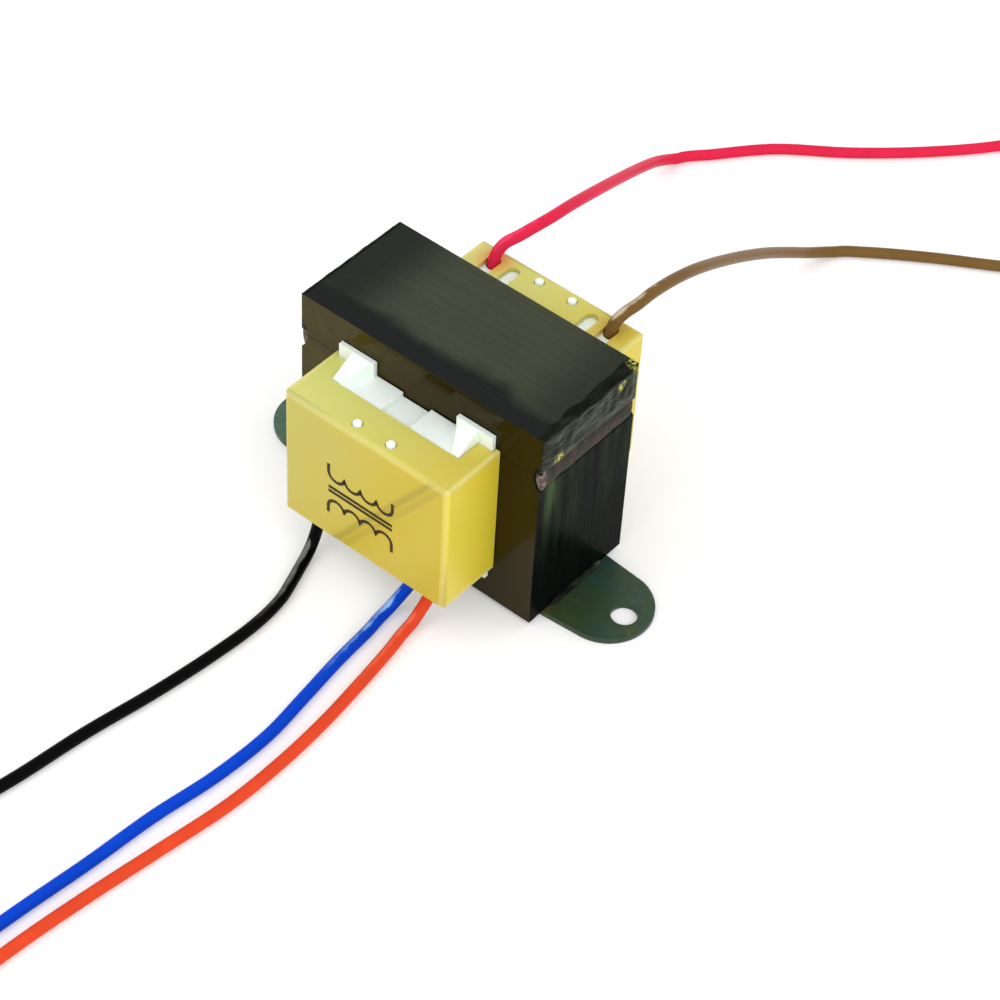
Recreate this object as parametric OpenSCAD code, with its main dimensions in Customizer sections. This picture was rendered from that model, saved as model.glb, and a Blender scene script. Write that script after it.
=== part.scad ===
// Laminated chassis transformer: a welded stack of E and I sheets on a flat
// foot plate, one coil on the centre leg, a clip-on cover over each end of the
// coil, and five flying leads. Millimetres, +Z up, front towards -Y. The origin
// is on the underside of the plate, below the middle of the core.

/* [Core] */
// Half the width of the centre leg; the sheets are 6 of these wide and 5 high
half_leg = 8; // [7:0.5:12]
// Number of E sheets, and of I sheets, in the stack
sheet_count = 46; // [32:1:60]
// Pitch of the sheets in the stack
sheet_pitch = 0.5; // [0.35:0.05:0.65]
// Varnish film between two sheets
sheet_gap = 0.04; // [0.02:0.01:0.08]
// Air gap where the I sheets butt on the E sheets
joint_gap = 0.05; // [0.02:0.01:0.2]
// Height of the weld groove in each side of the core
groove_h = 6; // [4:0.5:7]
// Depth of the weld groove
groove_depth = 1.2; // [0.6:0.1:1.6]
// Radius of the weld bead that lies in the groove
bead_r = 1.15; // [0.8:0.05:1.4]

/* [Foot plate] */
// Thickness of the plate
plate_t = 1; // [0.8:0.1:2]
// Width of the plate under the core
plate_w = 16.4; // [15.6:0.2:20]
// Distance that each ear reaches past the core
ear_out = 14.2; // [13:0.1:18]
// Radius of an ear's round end
ear_r = 7.7; // [7:0.1:7.8]
// Distance of each fixing hole from the core
hole_out = 10; // [8:0.1:12]
// Diameter of a fixing hole
hole_d = 4.3; // [3.2:0.1:5]
// Leg of the fillet weld between the plate and the core
foot_weld = 0.8; // [0.5:0.1:1.2]
// Length of each fillet weld
foot_weld_len = 13; // [8:0.5:15]

/* [Bobbin] */
// Clearance between the centre leg and the bobbin's tube
leg_clear = 0.2; // [0.1:0.05:0.4]
// Wall of the bobbin's tube
tube_wall = 1; // [0.6:0.1:1.2]
// Thickness of each flange and of the partition
flange_t = 1; // [0.8:0.1:1.4]
// Clearance between the bobbin's flanges and the outer legs
flange_clear = 0.6; // [0.4:0.1:0.8]
// Clearance between the bobbin and the yoke below it
bobbin_clear = 0.4; // [0.2:0.1:0.6]
// Height of the stop tabs above the flange
tab_h = 3.6; // [2.4:0.2:5]
// Thickness of a stop tab
tab_t = 0.8; // [0.6:0.1:1.2]
// Length of a stop tab, from the side of the flange
tab_len = 7.1; // [5:0.1:8]
// Width of the low end of the rib that props a tab
rib_tip_w = 1.4; // [0.8:0.1:2]
// Half the width of the recess between the raised pads
recess_half = 2.85; // [2:0.05:3.5]
// Diameter of a snap peg
peg_d = 1.5; // [1.2:0.1:2]
// Distance of a snap peg from the middle
peg_x = 3.35; // [2.8:0.05:4.5]
// Height of a snap peg above the cover
peg_proud = 0.5; // [0.3:0.1:0.8]

/* [Coil] */
// Depth of the tape below the edge of the flanges
coil_in = 0.9; // [0.5:0.1:2]
// Thickness of the tape over the wire
tape_t = 0.25; // [0.1:0.05:0.3]
// Bare rim between the tape and each flange
tape_rim = 0.5; // [0.4:0.1:1]

/* [Covers] */
// Room between the coil and the inside of a cover, for the leads
lead_room = 5.2; // [4.5:0.1:7]
// Wall of a cover
cover_wall = 0.8; // [0.6:0.1:1.2]
// Clearance between a cover and the bobbin
cover_clear = 0.15; // [0.1:0.05:0.3]
// Inner radius of a cover's edges
cover_inner_r = 0.3; // [0.1:0.1:0.4]
// Distance of the cut-out over the raised pads from each side of the cover
cutout_side = 3.6; // [3:0.1:4.5]
// Depth of the cut-out from the core
cutout_depth = 5.5; // [4.5:0.1:6]
// Width of a lead slot
slot_w = 2.4; // [2.2:0.1:2.6]
// Distance between two neighbouring lead slots
slot_pitch = 4; // [3.5:0.1:4.2]

/* [Leads] */
// Diameter of a lead over its insulation
lead_d = 2; // [1.6:0.1:2.1]
// Distance of the leads from the coil
lead_out = 2.7; // [1.5:0.1:2.8]
// Diameter of a splice sleeve
sleeve_d = 2.6; // [2.3:0.1:2.6]
// Length of a splice sleeve
sleeve_len = 6.5; // [5:0.5:7]
// Distance of each splice sleeve from the bobbin's outer face
sleeve_in = 3; // [2:0.1:3]

/* [Hidden] */

// Core
core_half_w = 3 * half_leg;
core_half_t = sheet_count * sheet_pitch / 2;
core_z = plate_t;
yoke_top = core_z + half_leg;
joint_z = yoke_top + 3 * half_leg;
groove_r = (groove_h * groove_h / 4 + groove_depth * groove_depth) / (2 * groove_depth);
groove_x = core_half_w - groove_depth + groove_r;
bead_seat = 0.02;

// Bobbin
bobbin_z = yoke_top + bobbin_clear;
bobbin_h = 3 * half_leg - bobbin_clear;
bobbin_mid = bobbin_z + bobbin_h / 2;
face_clear = 0.1;
tube_half_w = half_leg + leg_clear;
tube_half_t = core_half_t + leg_clear;
tube_out_w = tube_half_w + tube_wall;
tube_out_t = tube_half_t + tube_wall;
tube_corner = 0.8;
flange_half_w = 2 * half_leg - flange_clear;

// Coil: one section above the partition and one below it
section_h = (bobbin_h - 3 * flange_t) / 2;
lower_section_z = bobbin_z + flange_t;
upper_section_z = lower_section_z + section_h + flange_t;
wind_clear = 0.05;
coil_build = flange_half_w - coil_in - tube_out_w;
wire_build = coil_build - tape_t - wind_clear;
coil_out_t = tube_out_t + coil_build;
partition_proud = 0.3;
tail_d = tape_rim - 2 * wind_clear;

// Covers
cover_inner_t = coil_out_t + lead_room;
cover_half_w = flange_half_w + cover_clear + cover_wall;
cover_half_t = cover_inner_t + cover_wall;
cover_half_h = bobbin_h / 2 + cover_clear + cover_wall;
cover_outer_r = cover_inner_r + cover_wall;
cover_open = core_half_t + face_clear;
cutout_half = cover_half_w - cutout_side;
peg_hole_d = peg_d + 2 * cover_clear;

// Bobbin parts that meet a cover
flange_half_t = cover_inner_t - cover_clear;
flange_corner = cover_inner_r + 2 * cover_clear;
pad_front = core_half_t + cutout_depth - face_clear;
pad_h = cover_clear + cover_wall - face_clear;
pad_half = cutout_half - face_clear;
tab_in = flange_half_w - tab_len;
rib_rise = 0.2;
peg_edge = 0.65;
peg_y = flange_half_t - peg_d / 2 - peg_edge;
peg_taper = 0.2;

// Leads
lead_y = coil_out_t + lead_out;
slot_side = 0.75;
outer_slot_x = cutout_half - slot_side;
inner_slot_x = outer_slot_x - slot_pitch;
primary_splice_z = bobbin_z + bobbin_h - sleeve_in;
secondary_splice_z = bobbin_z + sleeve_in;
coil_pitch = 2.2;

// Leads: routes chosen by hand, from the splice to the start of the put-away coil
red_route = [
    [-12, 20.7, 30], [-12, 20.7, 32], [-12, 20.7, 33.8], [-11.9, 21.4, 35.4], [-11.6, 22.9, 36.5],
    [-10.8, 25.5, 36.9], [-10.6, 28.9, 36.6], [-10.7, 33.7, 35.7], [-12.3, 41, 32.8],
    [-15.3, 51, 27.5], [-19.8, 64, 19.7], [-25.1, 79, 10.3], [-28.2, 88.9, 4], [-28.2, 94.8, 1],
    [-24.1, 100.2, 1], [-16.6, 109.3, 1], [-5.9, 117.8, 1], [4.2, 127.5, 1], [13.2, 138.2, 1],
    [19, 148, 1]];
brown_route = [
    [12, 20.7, 30], [12, 20.7, 32], [12, 20.7, 33.8], [12.2, 21.4, 35.4], [12.7, 22.9, 36.5],
    [13.2, 25.5, 36.9], [13, 29.4, 36.5], [12.6, 35.9, 34.9], [11.8, 43.3, 31.8],
    [9.5, 56.6, 23.9], [7.1, 71.7, 14], [6.1, 82.3, 6.7], [6.3, 88.3, 2.9], [8.3, 93.4, 1],
    [12.6, 97.2, 1], [22.3, 104.1, 1], [33.5, 111.2, 1], [43.5, 119, 1]];
black_route = [
    [-12, -20.7, 12.4], [-12, -20.7, 8.8], [-12, -20.8, 5.6], [-12, -21.5, 3.4], [-11.7, -23, 1.7],
    [-11, -25.3, 1], [-9.5, -29.5, 1], [-8.1, -34, 1], [-7.5, -40.4, 1], [-8, -49.4, 1],
    [-9.4, -60.9, 1], [-11.5, -73.4, 1], [-13, -86, 1], [-14.4, -94, 1], [-15.5, -100, 1]];
blue_route = [
    [8, -20.7, 12.4], [8, -20.7, 8.8], [7.7, -20.7, 6.6], [7, -21.1, 4.5], [6.3, -22.1, 2.7],
    [5.9, -23.7, 1.4], [5.9, -25.8, 1], [6.4, -29.5, 1], [7, -36.9, 1], [8.2, -46.5, 1],
    [9.2, -55.4, 1], [8.8, -66.4, 1], [7.2, -77.8, 1], [6.2, -90, 1], [4.8, -103, 1],
    [3.3, -121, 1]];
orange_route = [
    [12, -20.7, 12.4], [12, -20.7, 8.8], [11.7, -20.8, 6.6], [11.1, -21.3, 4.5],
    [10.7, -22.3, 2.7], [10.6, -23.9, 1.4], [10.7, -26, 1], [11.5, -30.4, 1], [12.7, -39, 1],
    [13.7, -47.9, 1], [14.2, -57.9, 1], [13.9, -68.9, 1], [12.2, -81.4, 1], [10.4, -94, 1],
    [9, -106, 1], [8.2, -118, 1], [8, -130, 1]];

// Coils: middle of the coil, radius of the outer turn, number of turns
red_coil = [[29.3, 141.8], 12, 1.5];
brown_coil = [[50.8, 109.5], 12, 1.5];
black_coil = [[-28.3, -97.7], 13, 2.5];
blue_coil = [[-9.7, -119.9], 13, 2.5];
orange_coil = [[21, -130], 13, 2.5];

// --- Shared shapes ---------------------------------------------------------

// A rectangle with round corners, drawn about the origin
module round_rect(half_x, half_y, r) {
    square([2 * half_x, 2 * (half_y - r)], center = true);
    square([2 * (half_x - r), 2 * half_y], center = true);
    for (x = [-1, 1], y = [-1, 1])
        translate([x * (half_x - r), y * (half_y - r)]) circle(r = r, $fn = 32);
}

// Stands a drawing in X and Z upright, as thick as depth, its back face at y
module upright(y, depth) {
    translate([0, y, 0]) rotate([90, 0, 0]) linear_extrude(height = depth) children();
}

// --- Core and foot ---------------------------------------------------------

// The two weld grooves, one in each side of the core, centred on the joint
module grooves_2d() {
    for (side = [-1, 1])
        translate([side * groove_x, joint_z]) circle(r = groove_r, $fn = 48);
}

module e_sheet_2d() {
    difference() {
        translate([-core_half_w, core_z]) square([2 * core_half_w, 4 * half_leg]);
        for (x = [-2 * half_leg, half_leg])
            translate([x, yoke_top]) square([half_leg, 3 * half_leg + 1]);
        grooves_2d();
    }
}

module i_sheet_2d() {
    difference() {
        translate([-core_half_w, joint_z + joint_gap])
            square([2 * core_half_w, half_leg - joint_gap]);
        grooves_2d();
    }
}

// One sheet repeated through the stack, with the varnish film between them
module stack() {
    for (i = [0 : sheet_count - 1])
        upright(core_half_t - i * sheet_pitch - sheet_gap / 2, sheet_pitch - sheet_gap)
            children();
}

module e_laminations() {
    color("#3d4035") stack() e_sheet_2d();
}

module i_laminations() {
    color("#45493c") stack() i_sheet_2d();
}

// The bead fills the bottom of the groove and stays below the side of the core
module joint_weld(side) {
    color("#8a7468") upright(core_half_t - bead_r / 2, 2 * core_half_t - bead_r)
        intersection() {
            translate([side * groove_x, joint_z]) circle(r = groove_r - bead_seat, $fn = 48);
            translate([side * (core_half_w - groove_depth), joint_z]) circle(r = bead_r, $fn = 32);
        }
}

// The strip under the core runs on, with straight tapers, into two round ears
module plate_outline() {
    ear_x = core_half_w + ear_out - ear_r;
    edge = [[ear_x, ear_r], [core_half_w, plate_w / 2], [-core_half_w, plate_w / 2], [-ear_x, ear_r]];
    polygon([each edge, for (i = [3 : -1 : 0]) [edge[i][0], -edge[i][1]]]);
    for (side = [-1, 1]) translate([side * ear_x, 0]) circle(r = ear_r, $fn = 72);
}

module mounting_plate() {
    color("#4f6b52") difference() {
        linear_extrude(height = plate_t) plate_outline();
        for (side = [-1, 1])
            translate([side * (core_half_w + hole_out), 0, -1])
                cylinder(d = hole_d, h = plate_t + 2, $fn = 48);
    }
}

// A fillet weld in the corner between the plate and each side of the core
module foot_welds() {
    color("#6e6a52") for (side = [-1, 1])
        upright(foot_weld_len / 2, foot_weld_len) intersection() {
            translate([side * core_half_w, core_z]) circle(r = foot_weld, $fn = 48);
            translate([side > 0 ? core_half_w : -core_half_w - foot_weld, core_z])
                square(foot_weld);
        }
}

// --- Bobbin ----------------------------------------------------------------

// One flange, its outer face at z = 0, with everything that stands on that face
module flange() {
    translate([0, 0, -flange_t]) linear_extrude(height = flange_t)
        round_rect(flange_half_w, flange_half_t, flange_corner);
    for (side = [-1, 1], end = [-1, 1]) scale([side, end, 1]) {
        raised_pad();
        stop_tab();
        rib();
        snap_peg();
    }
}

// Pad that fills the cover's cut-out, beside the middle recess
module raised_pad() {
    translate([recess_half, core_half_t + face_clear, -flange_t / 2])
        cube([pad_half - recess_half, pad_front - core_half_t - face_clear, pad_h + flange_t / 2]);
}

// Tab that stands against the face of the core
module stop_tab() {
    translate([tab_in, core_half_t + face_clear, -flange_t / 2])
        cube([tab_len, tab_t, tab_h + flange_t / 2]);
}

// Rib that props the tab: it slopes down to the edge of the pad and gets narrower
module rib() {
    wall = core_half_t + face_clear;
    intersection() {
        translate([tab_in, 0, 0]) rotate([90, 0, 90]) linear_extrude(height = pad_half - tab_in)
            polygon([[wall, 0], [wall, tab_h], [wall + tab_t, tab_h], [pad_front, pad_h + rib_rise],
                [pad_front, 0]]);
        linear_extrude(height = tab_h + 1)
            polygon([[tab_in, wall], [pad_half, wall], [pad_half, pad_front],
                [pad_half - rib_tip_w, pad_front]]);
    }
}

// Peg that snaps through the cover, with a tapered tip
module snap_peg() {
    straight = flange_t / 2 + cover_clear + cover_wall + peg_proud - peg_taper;
    translate([peg_x, peg_y, -flange_t / 2]) {
        cylinder(d = peg_d, h = straight, $fn = 24);
        translate([0, 0, straight])
            cylinder(d1 = peg_d, d2 = peg_d - 2 * peg_taper, h = peg_taper, $fn = 24);
    }
}

// A slot in a flange for one lead, open to the flange's edge
module flange_slot(x, end, z) {
    translate([x, end * lead_y, z - 2 * flange_t]) {
        cylinder(d = slot_w, h = 4 * flange_t, $fn = 32);
        translate([-slot_w / 2, end > 0 ? 0 : -lead_room, 0]) cube([slot_w, lead_room, 4 * flange_t]);
    }
}

module bobbin() {
    bobbin_top = bobbin_z + bobbin_h;
    color("#eef0ec") difference() {
        union() {
            translate([0, 0, bobbin_z + flange_t / 2]) linear_extrude(height = bobbin_h - flange_t)
                round_rect(tube_out_w, tube_out_t, tube_corner);
            translate([0, 0, bobbin_top]) flange();
            translate([0, 0, bobbin_z]) mirror([0, 0, 1]) flange();
            translate([0, 0, bobbin_mid - flange_t / 2]) linear_extrude(height = flange_t)
                round_rect(flange_half_w, coil_out_t + partition_proud, tube_corner + coil_build);
        }
        translate([-tube_half_w, -tube_half_t, bobbin_z - 1])
            cube([2 * tube_half_w, 2 * tube_half_t, bobbin_h + 2]);
        for (x = [-outer_slot_x, outer_slot_x]) flange_slot(x, 1, bobbin_top);
        for (x = [-outer_slot_x, inner_slot_x, outer_slot_x]) flange_slot(x, -1, bobbin_z);
    }
}

// --- Coil ------------------------------------------------------------------

// A ring round the tube, from the distance inner to the distance outer off it
module ring_2d(inner, outer) {
    difference() {
        round_rect(tube_out_w + outer, tube_out_t + outer, tube_corner + outer);
        round_rect(tube_out_w + inner, tube_out_t + inner, tube_corner + inner);
    }
}

module winding(section_z) {
    translate([0, 0, section_z + wind_clear]) linear_extrude(height = section_h - 2 * wind_clear)
        ring_2d(wind_clear, wire_build);
}

// Bare end of the winding: out of the coil at z, then along the lead's line to end_z
module wire_tail(x, end, z, end_z) {
    translate([x, end * lead_y, z]) {
        rotate([end * 90, 0, 0]) cylinder(d = tail_d, h = lead_y - tube_out_t, $fn = 16);
        sphere(d = tail_d, $fn = 16);
        translate([0, 0, min(0, end_z - z)]) cylinder(d = tail_d, h = abs(end_z - z), $fn = 16);
    }
}

module tape(section_z) {
    translate([0, 0, section_z + tape_rim]) linear_extrude(height = section_h - 2 * tape_rim)
        ring_2d(wire_build + wind_clear, wire_build + wind_clear + tape_t);
}

module primary_winding() {
    color("#b0582a") {
        winding(upper_section_z);
        for (x = [-outer_slot_x, outer_slot_x])
            wire_tail(x, 1, upper_section_z + wind_clear + tail_d / 2, primary_splice_z - sleeve_len);
    }
}

module secondary_winding() {
    color("#b8642f") {
        winding(lower_section_z);
        for (x = [-outer_slot_x, inner_slot_x, outer_slot_x])
            wire_tail(x, -1, lower_section_z + section_h - wind_clear - tail_d / 2,
                secondary_splice_z + sleeve_len);
    }
}

module primary_tape() {
    color("#d8b93c") tape(upper_section_z);
}

module secondary_tape() {
    color("#d8b93c") tape(lower_section_z);
}

// --- Covers ----------------------------------------------------------------

// A box with all its edges along X and Z rounded, its open end at y = open_y
module rounded_box(half_w, half_t, half_h, r, open_y) {
    intersection() {
        translate([0, 0, -half_h]) linear_extrude(height = 2 * half_h)
            round_rect(half_w, half_t, r);
        rotate([90, 0, 90]) translate([0, 0, -half_w]) linear_extrude(height = 2 * half_w)
            round_rect(half_t, half_h, r);
        translate([-half_w, open_y - 2 * half_t, -half_h]) cube([2 * half_w, 2 * half_t, 2 * half_h]);
    }
}

// The moulding, about the middle of the bobbin, with its lead slots underneath
module cover() {
    inner_half_w = cover_half_w - cover_wall;
    inner_half_h = cover_half_h - cover_wall;
    difference() {
        rounded_box(cover_half_w, cover_half_t, cover_half_h, cover_outer_r, -cover_open);
        rounded_box(inner_half_w, cover_inner_t, inner_half_h, cover_inner_r, 0);
        // cut-out over the raised pads, and the step over the stop tabs
        translate([-cutout_half, -core_half_t - cutout_depth, -cover_half_h - 1])
            cube([2 * cutout_half, cutout_depth, 2 * cover_half_h + 2]);
        translate([-inner_half_w, -cover_open - tab_t - face_clear, -cover_half_h - 1])
            cube([2 * inner_half_w, tab_t + face_clear + 1, 2 * cover_half_h + 2]);
        for (x = [-peg_x, peg_x]) translate([x, -peg_y, -cover_half_h - 1])
            cylinder(d = peg_hole_d, h = 2 * cover_half_h + 2, $fn = 24);
        for (x = [-outer_slot_x, -inner_slot_x, inner_slot_x, outer_slot_x])
            translate([x, -lead_y, -cover_half_h - 1]) {
                cylinder(d = slot_w, h = cover_wall + 2, $fn = 32);
                translate([-slot_w / 2, 0, 0]) cube([slot_w, lead_y - cover_open, cover_wall + 2]);
            }
    }
}

module front_cover() {
    color("#d8c860") translate([0, 0, bobbin_mid]) cover();
}

// The same moulding turned over, so that its lead slots are on top
module rear_cover() {
    color("#d8c860") translate([0, 0, bobbin_mid]) rotate([180, 0, 0]) cover();
}

// --- Leads -----------------------------------------------------------------

function unit(v) = v / norm(v);
function heading(route, i) = unit(route[min(i + 1, len(route) - 1)] - route[max(i - 1, 0)]);

// The two cross axes of the tube at each point, turned as little as possible
function cross_axes(route, i, side) =
    i == len(route) ? [] :
    let (t = heading(route, i), u = unit(side - (side * t) * t))
    concat([[u, cross(t, u)]], cross_axes(route, i + 1, u));

// A tube of eight sides along a route
module tube(route, d) {
    sides = 8;
    last = len(route) - 1;
    axes = cross_axes(route, 0, [1, 0, 0]);
    points = [for (i = [0 : last], k = [0 : sides - 1])
        let (a = 360 * (k + 0.5) / sides)
        route[i] + d / 2 * (cos(a) * axes[i][0] + sin(a) * axes[i][1])];
    walls = [for (i = [0 : last - 1], k = [0 : sides - 1])
        let (n = (k + 1) % sides, b = i * sides)
        [b + k, b + sides + k, b + sides + n, b + n]];
    start = [for (k = [0 : sides - 1]) k];
    end = [for (k = [sides - 1 : -1 : 0]) last * sides + k];
    polyhedron(points, concat(walls, [start, end]));
}

// The room that a put-away coil takes, cut back where its lead runs in
module coil_room(coil, route) {
    outer = coil[1] + lead_d / 2;
    inner = coil[1] - coil[2] * coil_pitch - lead_d / 2;
    last = route[len(route) - 1];
    run = heading(route, len(route) - 1);
    difference() {
        translate([coil[0][0], coil[0][1], 0]) rotate_extrude($fn = 64)
            translate([inner, 0]) square([outer - inner, lead_d]);
        translate([last[0], last[1], -1]) rotate([0, 0, atan2(run[1], run[0])])
            translate([-outer, -lead_d / 2 - 0.1, 0]) cube([outer, lead_d + 0.2, lead_d + 2]);
    }
}

module splice(x, end, z) {
    translate([x, end * lead_y, z]) cylinder(d = sleeve_d, h = sleeve_len, $fn = 32);
}

module red_splice() {
    color("#c9b45a") splice(-outer_slot_x, 1, primary_splice_z - sleeve_len);
}

module brown_splice() {
    color("#c9b45a") splice(outer_slot_x, 1, primary_splice_z - sleeve_len);
}

module black_splice() {
    color("#c9b45a") splice(-outer_slot_x, -1, secondary_splice_z);
}

module blue_splice() {
    color("#c9b45a") splice(inner_slot_x, -1, secondary_splice_z);
}

module orange_splice() {
    color("#c9b45a") splice(outer_slot_x, -1, secondary_splice_z);
}

module red_lead() {
    color("#e8202c") tube(red_route, lead_d);
}

module brown_lead() {
    color("#9a6a3c") tube(brown_route, lead_d);
}

module black_lead() {
    color("#1c1c1c") tube(black_route, lead_d);
}

module blue_lead() {
    color("#1448b8") tube(blue_route, lead_d);
}

module orange_lead() {
    color("#f4623c") tube(orange_route, lead_d);
}

module red_lead_coil() {
    color("#e8202c") coil_room(red_coil, red_route);
}

module brown_lead_coil() {
    color("#9a6a3c") coil_room(brown_coil, brown_route);
}

module black_lead_coil() {
    color("#1c1c1c") coil_room(black_coil, black_route);
}

module blue_lead_coil() {
    color("#1448b8") coil_room(blue_coil, blue_route);
}

module orange_lead_coil() {
    color("#f4623c") coil_room(orange_coil, orange_route);
}

mounting_plate();
foot_welds();
e_laminations();
i_laminations();
joint_weld(-1);  // left_joint_weld
joint_weld(1);  // right_joint_weld
bobbin();
primary_winding();
secondary_winding();
primary_tape();
secondary_tape();
front_cover();
rear_cover();
red_splice();
brown_splice();
black_splice();
blue_splice();
orange_splice();
red_lead();
brown_lead();
black_lead();
blue_lead();
orange_lead();
red_lead_coil();
brown_lead_coil();
black_lead_coil();
blue_lead_coil();
orange_lead_coil();
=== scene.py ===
"""Dresses the laminated chassis transformer: sheets, welds, mouldings, leads, stage and camera."""

import math
import random

import bmesh
import bpy
from mathutils import Matrix, Vector, noise


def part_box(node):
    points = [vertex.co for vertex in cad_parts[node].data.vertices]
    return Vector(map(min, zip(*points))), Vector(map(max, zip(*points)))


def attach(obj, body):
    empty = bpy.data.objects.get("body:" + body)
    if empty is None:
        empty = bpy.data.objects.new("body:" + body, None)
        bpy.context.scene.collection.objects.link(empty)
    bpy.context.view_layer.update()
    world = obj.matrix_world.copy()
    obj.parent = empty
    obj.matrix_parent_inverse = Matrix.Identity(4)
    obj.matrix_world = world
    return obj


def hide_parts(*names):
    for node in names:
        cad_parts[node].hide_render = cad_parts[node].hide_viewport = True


bl_info = {
    "name": "Laminated chassis transformer",
    "version": (1, 0, 0),
    "blender": (4, 5, 0),
    "location": "3D View > Sidebar > Transformer",
    "description": "Builds the pieces and finishes of a small welded transformer",
    "category": "Object",
}

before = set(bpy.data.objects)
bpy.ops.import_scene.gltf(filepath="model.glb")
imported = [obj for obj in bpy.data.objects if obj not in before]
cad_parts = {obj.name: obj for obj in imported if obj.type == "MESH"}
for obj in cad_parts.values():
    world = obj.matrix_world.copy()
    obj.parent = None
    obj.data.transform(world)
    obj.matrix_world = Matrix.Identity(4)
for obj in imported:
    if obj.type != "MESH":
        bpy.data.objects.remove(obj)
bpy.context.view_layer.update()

MM = 0.001
BODY = "root"
CORE_LOW, E_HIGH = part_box("e_laminations")
I_LOW, CORE_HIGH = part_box("i_laminations")
COVER_LOW, COVER_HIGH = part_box("front_cover")

# Routes of the leads in millimetres, the same points as in the part's source
ROUTES = {
    "red": [
        (-12, 20.7, 30), (-12, 20.7, 32), (-12, 20.7, 33.8), (-11.9, 21.4, 35.4),
        (-11.6, 22.9, 36.5), (-10.8, 25.5, 36.9), (-10.6, 28.9, 36.6), (-10.7, 33.7, 35.7),
        (-12.3, 41, 32.8), (-15.3, 51, 27.5), (-19.8, 64, 19.7), (-25.1, 79, 10.3),
        (-28.2, 88.9, 4), (-28.2, 94.8, 1), (-24.1, 100.2, 1), (-16.6, 109.3, 1),
        (-5.9, 117.8, 1), (4.2, 127.5, 1), (13.2, 138.2, 1), (19, 148, 1)],
    "brown": [
        (12, 20.7, 30), (12, 20.7, 32), (12, 20.7, 33.8), (12.2, 21.4, 35.4),
        (12.7, 22.9, 36.5), (13.2, 25.5, 36.9), (13, 29.4, 36.5), (12.6, 35.9, 34.9),
        (11.8, 43.3, 31.8), (9.5, 56.6, 23.9), (7.1, 71.7, 14), (6.1, 82.3, 6.7),
        (6.3, 88.3, 2.9), (8.3, 93.4, 1), (12.6, 97.2, 1), (22.3, 104.1, 1), (33.5, 111.2, 1),
        (43.5, 119, 1)],
    "black": [
        (-12, -20.7, 12.4), (-12, -20.7, 8.8), (-12, -20.8, 5.6), (-12, -21.5, 3.4),
        (-11.7, -23, 1.7), (-11, -25.3, 1), (-9.5, -29.5, 1), (-8.1, -34, 1), (-7.5, -40.4, 1),
        (-8, -49.4, 1), (-9.4, -60.9, 1), (-11.5, -73.4, 1), (-13, -86, 1), (-14.4, -94, 1),
        (-15.5, -100, 1)],
    "blue": [
        (8, -20.7, 12.4), (8, -20.7, 8.8), (7.7, -20.7, 6.6), (7, -21.1, 4.5),
        (6.3, -22.1, 2.7), (5.9, -23.7, 1.4), (5.9, -25.8, 1), (6.4, -29.5, 1), (7, -36.9, 1),
        (8.2, -46.5, 1), (9.2, -55.4, 1), (8.8, -66.4, 1), (7.2, -77.8, 1), (6.2, -90, 1),
        (4.8, -103, 1), (3.3, -121, 1)],
    "orange": [
        (12, -20.7, 12.4), (12, -20.7, 8.8), (11.7, -20.8, 6.6), (11.1, -21.3, 4.5),
        (10.7, -22.3, 2.7), (10.6, -23.9, 1.4), (10.7, -26, 1), (11.5, -30.4, 1),
        (12.7, -39, 1), (13.7, -47.9, 1), (14.2, -57.9, 1), (13.9, -68.9, 1), (12.2, -81.4, 1),
        (10.4, -94, 1), (9, -106, 1), (8.2, -118, 1), (8, -130, 1)],
}
# Middle of each put-away coil in millimetres, and the way it turns: 1 is anticlockwise
COILS = {
    "red": (29.3, 141.8, -1), "brown": (50.8, 109.5, -1), "black": (-28.3, -97.7, -1),
    "blue": (-9.7, -119.9, -1), "orange": (21, -130, 1),
}
# Where each lead leaves its cover, in metres
EXITS = {
    "red": (-0.012, 0.0207, 0.0339), "brown": (0.012, 0.0207, 0.0339),
    "black": (-0.012, -0.0207, 0.0085), "blue": (0.008, -0.0207, 0.0085),
    "orange": (0.012, -0.0207, 0.0085),
}
# How much each lead's skin mirrors: the brown one kept its gloss, the others are duller
GLOSS = {"red": 0.015, "brown": 0.12, "black": 0.04, "blue": 0.04, "orange": 0.03}
# Colour of the highlight painted along the upper side of each lead
LEAD_HIGHLIGHTS = {
    "red": "#f04a6c", "brown": "#d8c8a8", "black": "#7c807e", "blue": "#9cc8f8",
    "orange": "#f87858",
}
# Painted highlights on clear drops in the varnish runs: middle and size in millimetres
RUN_DROP_HIGHLIGHTS = (
    ((24.4, -7.2, 34.6), 1.5), ((24.2, 7.2, 39.4), 1.3), ((23.8, 11.2, 41), 1.8),
    ((-24.4, 6.4, 35), 1.4), ((-24.2, -8, 39.2), 1.2),
)
# Length in which a strand turns once round the wire
STRAND_LAY = 9 * MM
# A range with soft ends
SOFT = {"interpolation_type": "SMOOTHSTEP"}
# A wave texture draws this many bands in one unit
WAVE_BANDS = 20


# --- Settings, colour, nodes and meshes ---


def rgb(code):
    """Turns an sRGB hex colour into linear red, green, blue and alpha."""
    parts = [int(code[i:i + 2], 16) / 255 for i in (1, 3, 5)]
    return (*(p / 12.92 if p <= 0.04045 else ((p + 0.055) / 1.055) ** 2.4 for p in parts), 1.0)


def colour_setting(name, description, code):
    """A colour that a user may change, from its sRGB hex code."""
    return bpy.props.FloatVectorProperty(
        name=name, description=description, subtype="COLOR", size=4, default=rgb(code))


def length_setting(name, description, default):
    """A length that a user may change, in metres."""
    return bpy.props.FloatProperty(
        name=name, description=description, default=default, unit="LENGTH", precision=5)


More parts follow.
